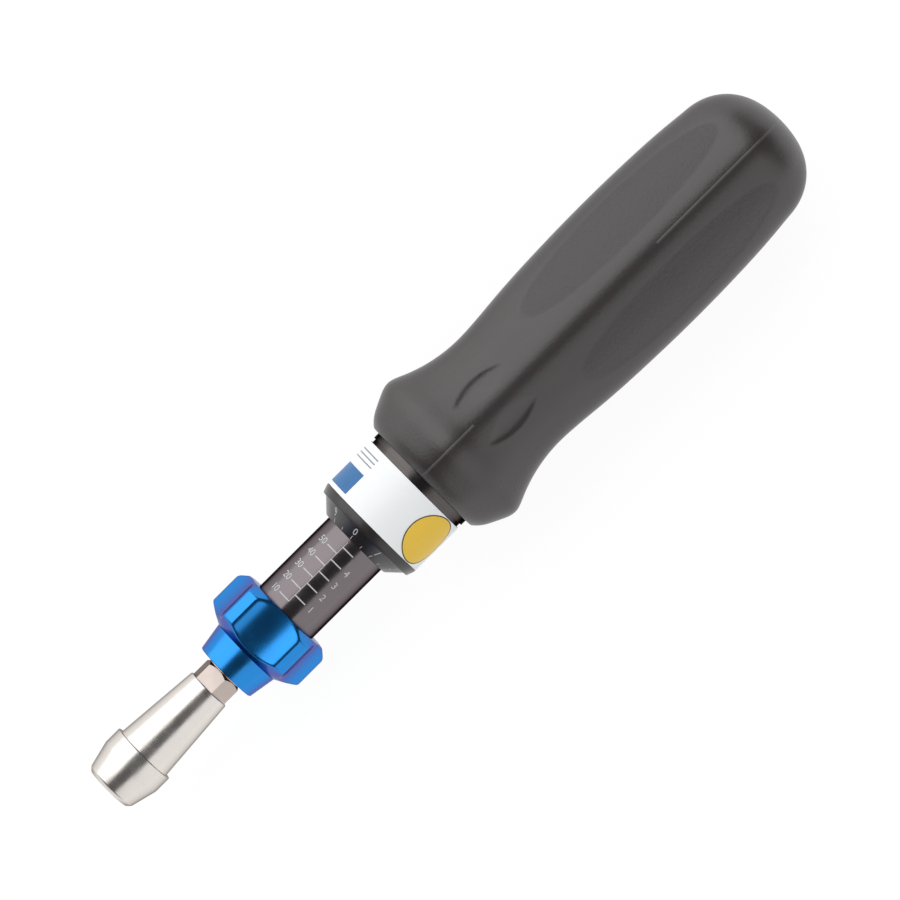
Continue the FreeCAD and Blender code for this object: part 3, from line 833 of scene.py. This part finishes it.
def thicken(piece, thickness=0.04):
    """Gives a rolled mark a thickness, most of it inwards."""
    choose(piece)
    bpy.ops.object.mode_set(mode="EDIT")
    bpy.ops.mesh.select_all(action="SELECT")
    bpy.ops.mesh.normals_make_consistent(inside=False)
    bpy.ops.object.mode_set(mode="OBJECT")
    outward = sum(
        face.normal.y * face.center.y + face.normal.z * face.center.z
        for face in piece.data.polygons
    )
    if outward < 0:
        piece.data.flip_normals()
    apply_modifier(piece, "SOLIDIFY", thickness=thickness * mm, offset=-1)


def line(x, across, length, width, along_axis=False):
    """A straight flat mark with its middle at (x, across), in millimetres."""
    clear_selection()
    bpy.ops.mesh.primitive_grid_add(
        x_subdivisions=1, y_subdivisions=1 if along_axis else 16, size=1,
        location=(x * mm, across * mm, 0),
    )
    mark = bpy.context.object
    size = (length, width) if along_axis else (width, length)
    mark.scale = (size[0] * mm, size[1] * mm, 1)
    settle(mark)
    return mark


letter_share = 0.7  # a numeral's height as a share of the size of its type


def numeral(text, x, height):
    """A number whose top points to the handle, as a flat mesh centred at x."""
    clear_selection()
    bpy.ops.object.text_add(location=(x * mm, 0, 0), rotation=(0, 0, math.radians(-90)))
    words = bpy.context.object
    words.data.body = text
    words.data.size = height * mm / letter_share
    words.data.align_x = "CENTER"
    words.data.align_y = "CENTER"
    words.data.resolution_u = 3
    bpy.ops.object.convert(target="MESH")
    mark = bpy.context.object
    settle(mark)
    return mark


def joined(name, marks):
    """Joins marks into one piece."""
    clear_selection()
    for mark in marks:
        mark.select_set(True)
    bpy.context.view_layer.objects.active = marks[0]
    bpy.ops.object.join()
    piece = bpy.context.object
    piece.name = name
    return piece


# %% [markdown]
# The scale tube carries a datum line with ticks on both sides, half a division apart, and
# numbers beside them. They are laser marked in pale grey.

# %% Scale marks
division = 2.7
datum_angle = 9.0
datum_middle = 48.9
datum_length = 13.4
upper_start = 42.2
lower_start = 43.6
tick_length = 2.3
tick_width = 0.2
number_height = 1.2
number_lean = 34
scale_marks = []


def on_tube(x):
    """The scale tube is straight, so its radius is the same all along."""
    return tube_r


datum = line(datum_middle, 0, datum_length, 0.1, along_axis=True)
roll_on(datum, on_tube, datum_angle)
scale_marks.append(datum)
for index in range(5):
    upper = line(upper_start + division * index, tick_length / 2, tick_length, tick_width)
    roll_on(upper, on_tube, datum_angle)
    lower = line(lower_start + division * index, -tick_length / 2, tick_length, tick_width)
    roll_on(lower, on_tube, datum_angle)
    scale_marks += [upper, lower]
number_rows = (
    (("10", "20", "30", "40", "50"), upper_start, datum_angle + number_lean),
    (("1", "2", "3", "4"), lower_start, datum_angle - number_lean),
)
for texts, start, lean in number_rows:
    for index, text in enumerate(texts):
        number = numeral(text, start + division * index, number_height)
        roll_on(number, on_tube, lean)
        scale_marks.append(number)
for mark in scale_marks:
    thicken(mark)
tube_marks = joined("scale_marks", scale_marks)
finish_piece(tube_marks, pale_ink, "barrel", "scale_chrome")

# %% [markdown]
# The thimble's cone has ten numbers round it, with a tick at each one and one halfway to the
# next.

# %% Thimble marks
def on_cone(x):
    """The dial's radius, which grows along its cone."""
    share = (x - thimble_front) / (cone_rear - thimble_front)
    return dial_front_r + share * (dial_rear_r - dial_front_r)


dial_steps = 10
dial_angle = 360 // dial_steps
thimble_marks = []
for index in range(dial_steps):
    lean = datum_angle - dial_angle * index
    number = numeral(str(index), thimble_front + 1.45, 1.1)
    roll_on(number, on_cone, lean)
    tick = line(thimble_front + 0.4, 0, 0.6, 0.12, along_axis=True)
    roll_on(tick, on_cone, lean)
    half_tick = line(thimble_front + 0.35, 0, 0.45, 0.1, along_axis=True)
    roll_on(half_tick, on_cone, lean - dial_angle // 2)
    thimble_marks += [number, tick, half_tick]
for mark in thimble_marks:
    thicken(mark)
cone_marks = joined("thimble_marks", thimble_marks)
finish_piece(cone_marks, pale_ink, "handle", "thimble_black")

# %% [markdown]
# The label's print is only a plain blue bar and a few thin grey lines. Both go round the side of
# the body.

# %% Label print
def on_label(x):
    """The label is straight, so its radius is the same all along."""
    return label_r


def patch_of_ink(name, x, length, middle, arc, ink):
    """A plain printed block on the label. Middle and arc are in degrees round the body."""
    width = math.radians(arc) * label_r
    block = line(x, 0, width, length)
    roll_on(block, on_label, middle, lift=0.012)
    thicken(block, 0.02)
    block.name = name
    return finish_piece(block, ink, "handle", "label_white")


patch_of_ink("label_print_blue", label_front + 2.9, 4.2, 82, 80, blue_ink)
for index in range(3):
    patch_of_ink(f"label_print_line_{index}", label_front + 6.6 + 0.8 * index, 0.22,
                 80 - 4 * index, 76 - 8 * index, grey_ink)

# %% [markdown]
# A round yellow dot is stuck on the label, with a thin dark line round its edge. It starts as a
# circle that is extruded inwards a few times, so that it has enough rings to follow the curve.

# %% Marker dot
dot_lean = -51.5
dot_x = (label_front + label_rear) / 2
dot_r = 4.7
dot_line = 0.18
least_r = 0.3


def disc(name, outer_r, inner_r, steps=96, rings=8):
    """A flat disc, or a flat ring if its inner radius isn't zero, round the dot's middle."""
    clear_selection()
    bpy.ops.mesh.primitive_circle_add(
        vertices=steps, radius=outer_r * mm, location=(dot_x * mm, 0, 0)
    )
    piece = bpy.context.object
    piece.name = name
    settle(piece)
    bpy.ops.object.mode_set(mode="EDIT")
    bpy.ops.mesh.select_all(action="SELECT")
    radius = outer_r
    for index in range(rings):
        next_r = outer_r + (max(inner_r, least_r) - outer_r) * (index + 1) / rings
        bpy.ops.mesh.extrude_edges_move()
        share = next_r / radius
        bpy.ops.transform.resize(value=(share, share, 1), center_override=(dot_x * mm, 0, 0))
        radius = next_r
    if inner_r == 0:
        bpy.ops.mesh.edge_face_add()
    bpy.ops.object.mode_set(mode="OBJECT")
    return piece


dot = disc("marker_dot_film", dot_r - dot_line, 0)
roll_on(dot, on_label, dot_lean, lift=0.05)
thicken(dot, 0.05)
finish_piece(dot, yellow_film, "handle", "marker_yellow", "marker_dot")
dot_edge = disc("marker_dot_edge", dot_r, dot_r - dot_line, rings=1)
roll_on(dot_edge, on_label, dot_lean, lift=0.055)
thicken(dot_edge, 0.05)
finish_piece(dot_edge, black_ink, "handle", "marker_yellow")

# %% [markdown]
# ## Handle
#
# The handle is one hollow moulding. Seen from its end it is a soft five-sided shape with a ridge
# at the top. Its side flares behind the front edge, narrows to a neck for the fingers, swells
# into the palm and closes with a dome.
#
# It is made as the other round pieces are, from rings along the axis. The rings follow a smooth
# curve through a few heights. Then every point is moved in or out to make the five sides. Each
# row of the outline gives a distance behind the front edge, a half width, and how strongly
# five-sided the section is there.

# %% Outline of the handle
handle_front = front("grip")
handle_bore_r = 8.85
dome_length = 10.5
dome_power = 2.05
dome_root = 0.42
dome_end_share = 0.997
handle_outline = (
    (0.0, 11.0, 0.010), (0.5, 11.7, 0.020), (1.6, 12.55, 0.030), (3.6, 13.55, 0.034),
    (5.4, 14.38, 0.036), (6.8, 14.68, 0.036), (8.2, 14.28, 0.036), (10.2, 13.42, 0.035),
    (13.0, 12.50, 0.034), (16.4, 11.82, 0.034), (19.8, 11.60, 0.034), (24.0, 11.82, 0.034),
    (30.5, 12.40, 0.034), (38.0, 12.78, 0.034), (47.6, 13.00, 0.034), (57.0, 12.90, 0.033),
    (66.0, 12.50, 0.031), (71.0, 12.00, 0.029),
)
dome_front = handle_outline[-1][0]


def smooth_between(points, x):
    """Height at x of a smooth curve through (x, height) points."""
    slopes = []
    for index in range(len(points)):
        before = points[max(index - 1, 0)]
        after = points[min(index + 1, len(points) - 1)]
        slopes.append((after[1] - before[1]) / (after[0] - before[0]))
    for index, (start, end) in enumerate(zip(points, points[1:])):
        if start[0] <= x <= end[0]:
            span = end[0] - start[0]
            t = (x - start[0]) / span
            return (
                (2 * t ** 3 - 3 * t ** 2 + 1) * start[1]
                + (t ** 3 - 2 * t ** 2 + t) * span * slopes[index]
                + (3 * t ** 2 - 2 * t ** 3) * end[1]
                + (t ** 3 - t ** 2) * span * slopes[index + 1]
            )
    return points[-1][1]


def handle_side(x):
    """Half width and five-sidedness of the handle at a distance from its front edge."""
    if x <= dome_front:
        widths = [(place, width) for place, width, sidedness in handle_outline]
        sides = [(place, sidedness) for place, width, sidedness in handle_outline]
        return smooth_between(widths, x), smooth_between(sides, x)
    share = min((x - dome_front) / dome_length, 1.0)
    fall = (1 - (dome_end_share * share) ** dome_power) ** dome_root
    return handle_outline[-1][1] * fall, handle_outline[-1][2] * fall


print("widest half width", max(width for place, width, sidedness in handle_outline), "mm")

# %% [markdown]
# The rings lie closer together at the front, where the form changes fast and the finger hollows
# lie, and in the dome.

# %% Handle body
def places_between(start, end, step):
    count = max(round((end - start) / step), 1)
    return [start + (end - start) * index / count for index in range(count)]


neck_rear = 26.0
bore_length = 55
dome_rings = 12
end_hole_r = 0.4

ring_places = [0.0] + places_between(0.15, neck_rear, 1.0)
ring_places += places_between(neck_rear, dome_front, 3.0)
for index in range(dome_rings + 1):
    quarter = math.radians(90 * index / dome_rings)
    ring_places.append(dome_front + dome_length * math.sin(quarter))
handle_profile = [
    (handle_front + bore_length, 0.5), (handle_front + bore_length, handle_bore_r),
]
for x in (30.0, 8.0, 0.4):
    handle_profile.append((handle_front + x, handle_bore_r))
handle_profile.append((handle_front + 0.0, handle_bore_r + 0.3))
for x in ring_places:
    handle_profile.append((handle_front + x, handle_side(x)[0]))
handle_profile.append((handle_front + dome_front + dome_length, end_hole_r))
handle = turned("handle_moulding", handle_profile, steps=60)
print("handle cage has", len(handle.data.vertices), "points")

# %% [markdown]
# A subdivision surface smooths the cage. Then the five sides are made: a point's distance from
# the axis grows at the ridges and shrinks between them, and the whole section is scaled so that
# its width from above stays the same.

# %% Five sides
ridges = 5
ridge_angle = 360 // ridges
ridge_sharpness = 0.22
outer_wall = 0.6
last_lobed_place = 81.4


def ridge_share(angle, sidedness):
    """Distance from the axis at an angle in degrees, as a share of the section's half width."""
    def height(side):
        turn = math.radians(ridges * side)
        return 1 + sidedness * (math.cos(turn) + ridge_sharpness * math.cos(2 * turn))

    widest = max(height(side) * math.sin(math.radians(side)) for side in range(60, 120, 3))
    return height(angle) / widest


def is_outside(point):
    """True for a point of the handle's outer side, not of its bore."""
    x = point.co.x / mm - handle_front
    wall_r = (handle_bore_r + outer_wall) * mm
    return x > bore_length + 1 or math.hypot(point.co.y, point.co.z) > wall_r


apply_modifier(handle, "SUBSURF", levels=2, render_levels=2)
ring_shares = {}
for point in handle.data.vertices:
    if not is_outside(point):
        continue
    x = point.co.x / mm - handle_front
    angle = math.degrees(math.atan2(-point.co.y, point.co.z))
    key = (round(x, 2), round(abs(angle) % ridge_angle, 1))
    if key not in ring_shares:
        sidedness = handle_side(min(max(x, 0.0), last_lobed_place))[1]
        ring_shares[key] = ridge_share(angle, sidedness)
    point.co.y *= ring_shares[key]
    point.co.z *= ring_shares[key]
print("handle has", len(handle.data.polygons), "faces")

# %% [markdown]
# On both sides of the top ridge, in the neck, there is a shallow hollow for a fingertip: a
# pointed oval whose outer edge is the steeper one. Behind the neck each of the five sides has a
# long oval patch with a coarse grain, let in by a few hundredths of a millimetre. The patch is
# painted as an attribute, which the material reads.

# %% Finger hollows and grip patches
hollow_middle = 16.7
hollow_half_length = 5.6
hollow_half_width = 2.1
hollow_depth = 0.5
hollow_angle = 18.5
hollow_skew = 0.45
patch_middle = 51.3
patch_half_length = 22.0
patch_half_angle = 22.0
patch_roundness = 2.4
patch_edge = 0.03
patch_sink = 0.07


def hollow_at(x, angle, radius):
    """Depth of the finger hollows at a place on the handle. The angle is from the top."""
    along = (x - hollow_middle) / hollow_half_length
    if abs(along) >= 1:
        return 0.0
    off_ridge = (angle + 180) % 360 - 180
    from_middle = math.radians(abs(off_ridge) - hollow_angle) * radius
    fullness = 1 - along ** 2
    across = from_middle / (hollow_half_width * fullness)
    if abs(across) >= 1:
        return 0.0
    return hollow_depth * fullness * (1 - across ** 2) * (1 + hollow_skew * across)


def patch_at(x, angle):
    """1 inside a grip patch, 0 outside, with a narrow soft edge."""
    along = (x - patch_middle) / patch_half_length
    across = (angle % ridge_angle - ridge_angle // 2) / patch_half_angle
    size = abs(along) ** patch_roundness + abs(across) ** patch_roundness
    edge = 1 - size ** (1 / patch_roundness)
    return min(max(edge / patch_edge, 0.0), 1.0)


patch_values = [0.0] * len(handle.data.vertices)
for point in handle.data.vertices:
    if not is_outside(point):
        continue
    x = point.co.x / mm - handle_front
    angle = math.degrees(math.atan2(-point.co.y, point.co.z)) % 360
    radius = math.hypot(point.co.y, point.co.z) / mm
    patch_values[point.index] = patch_at(x, angle)
    sink = hollow_at(x, angle, radius) + patch_sink * patch_values[point.index]
    share = 1 - sink / radius
    point.co.y *= share
    point.co.z *= share
patch_layer = handle.data.attributes.new("patch", "FLOAT", "POINT")
patch_layer.data.foreach_set("value", patch_values)
finish_piece(handle, grip_plastic, "handle", "grip_plastic", "grip", smooth_below=60)
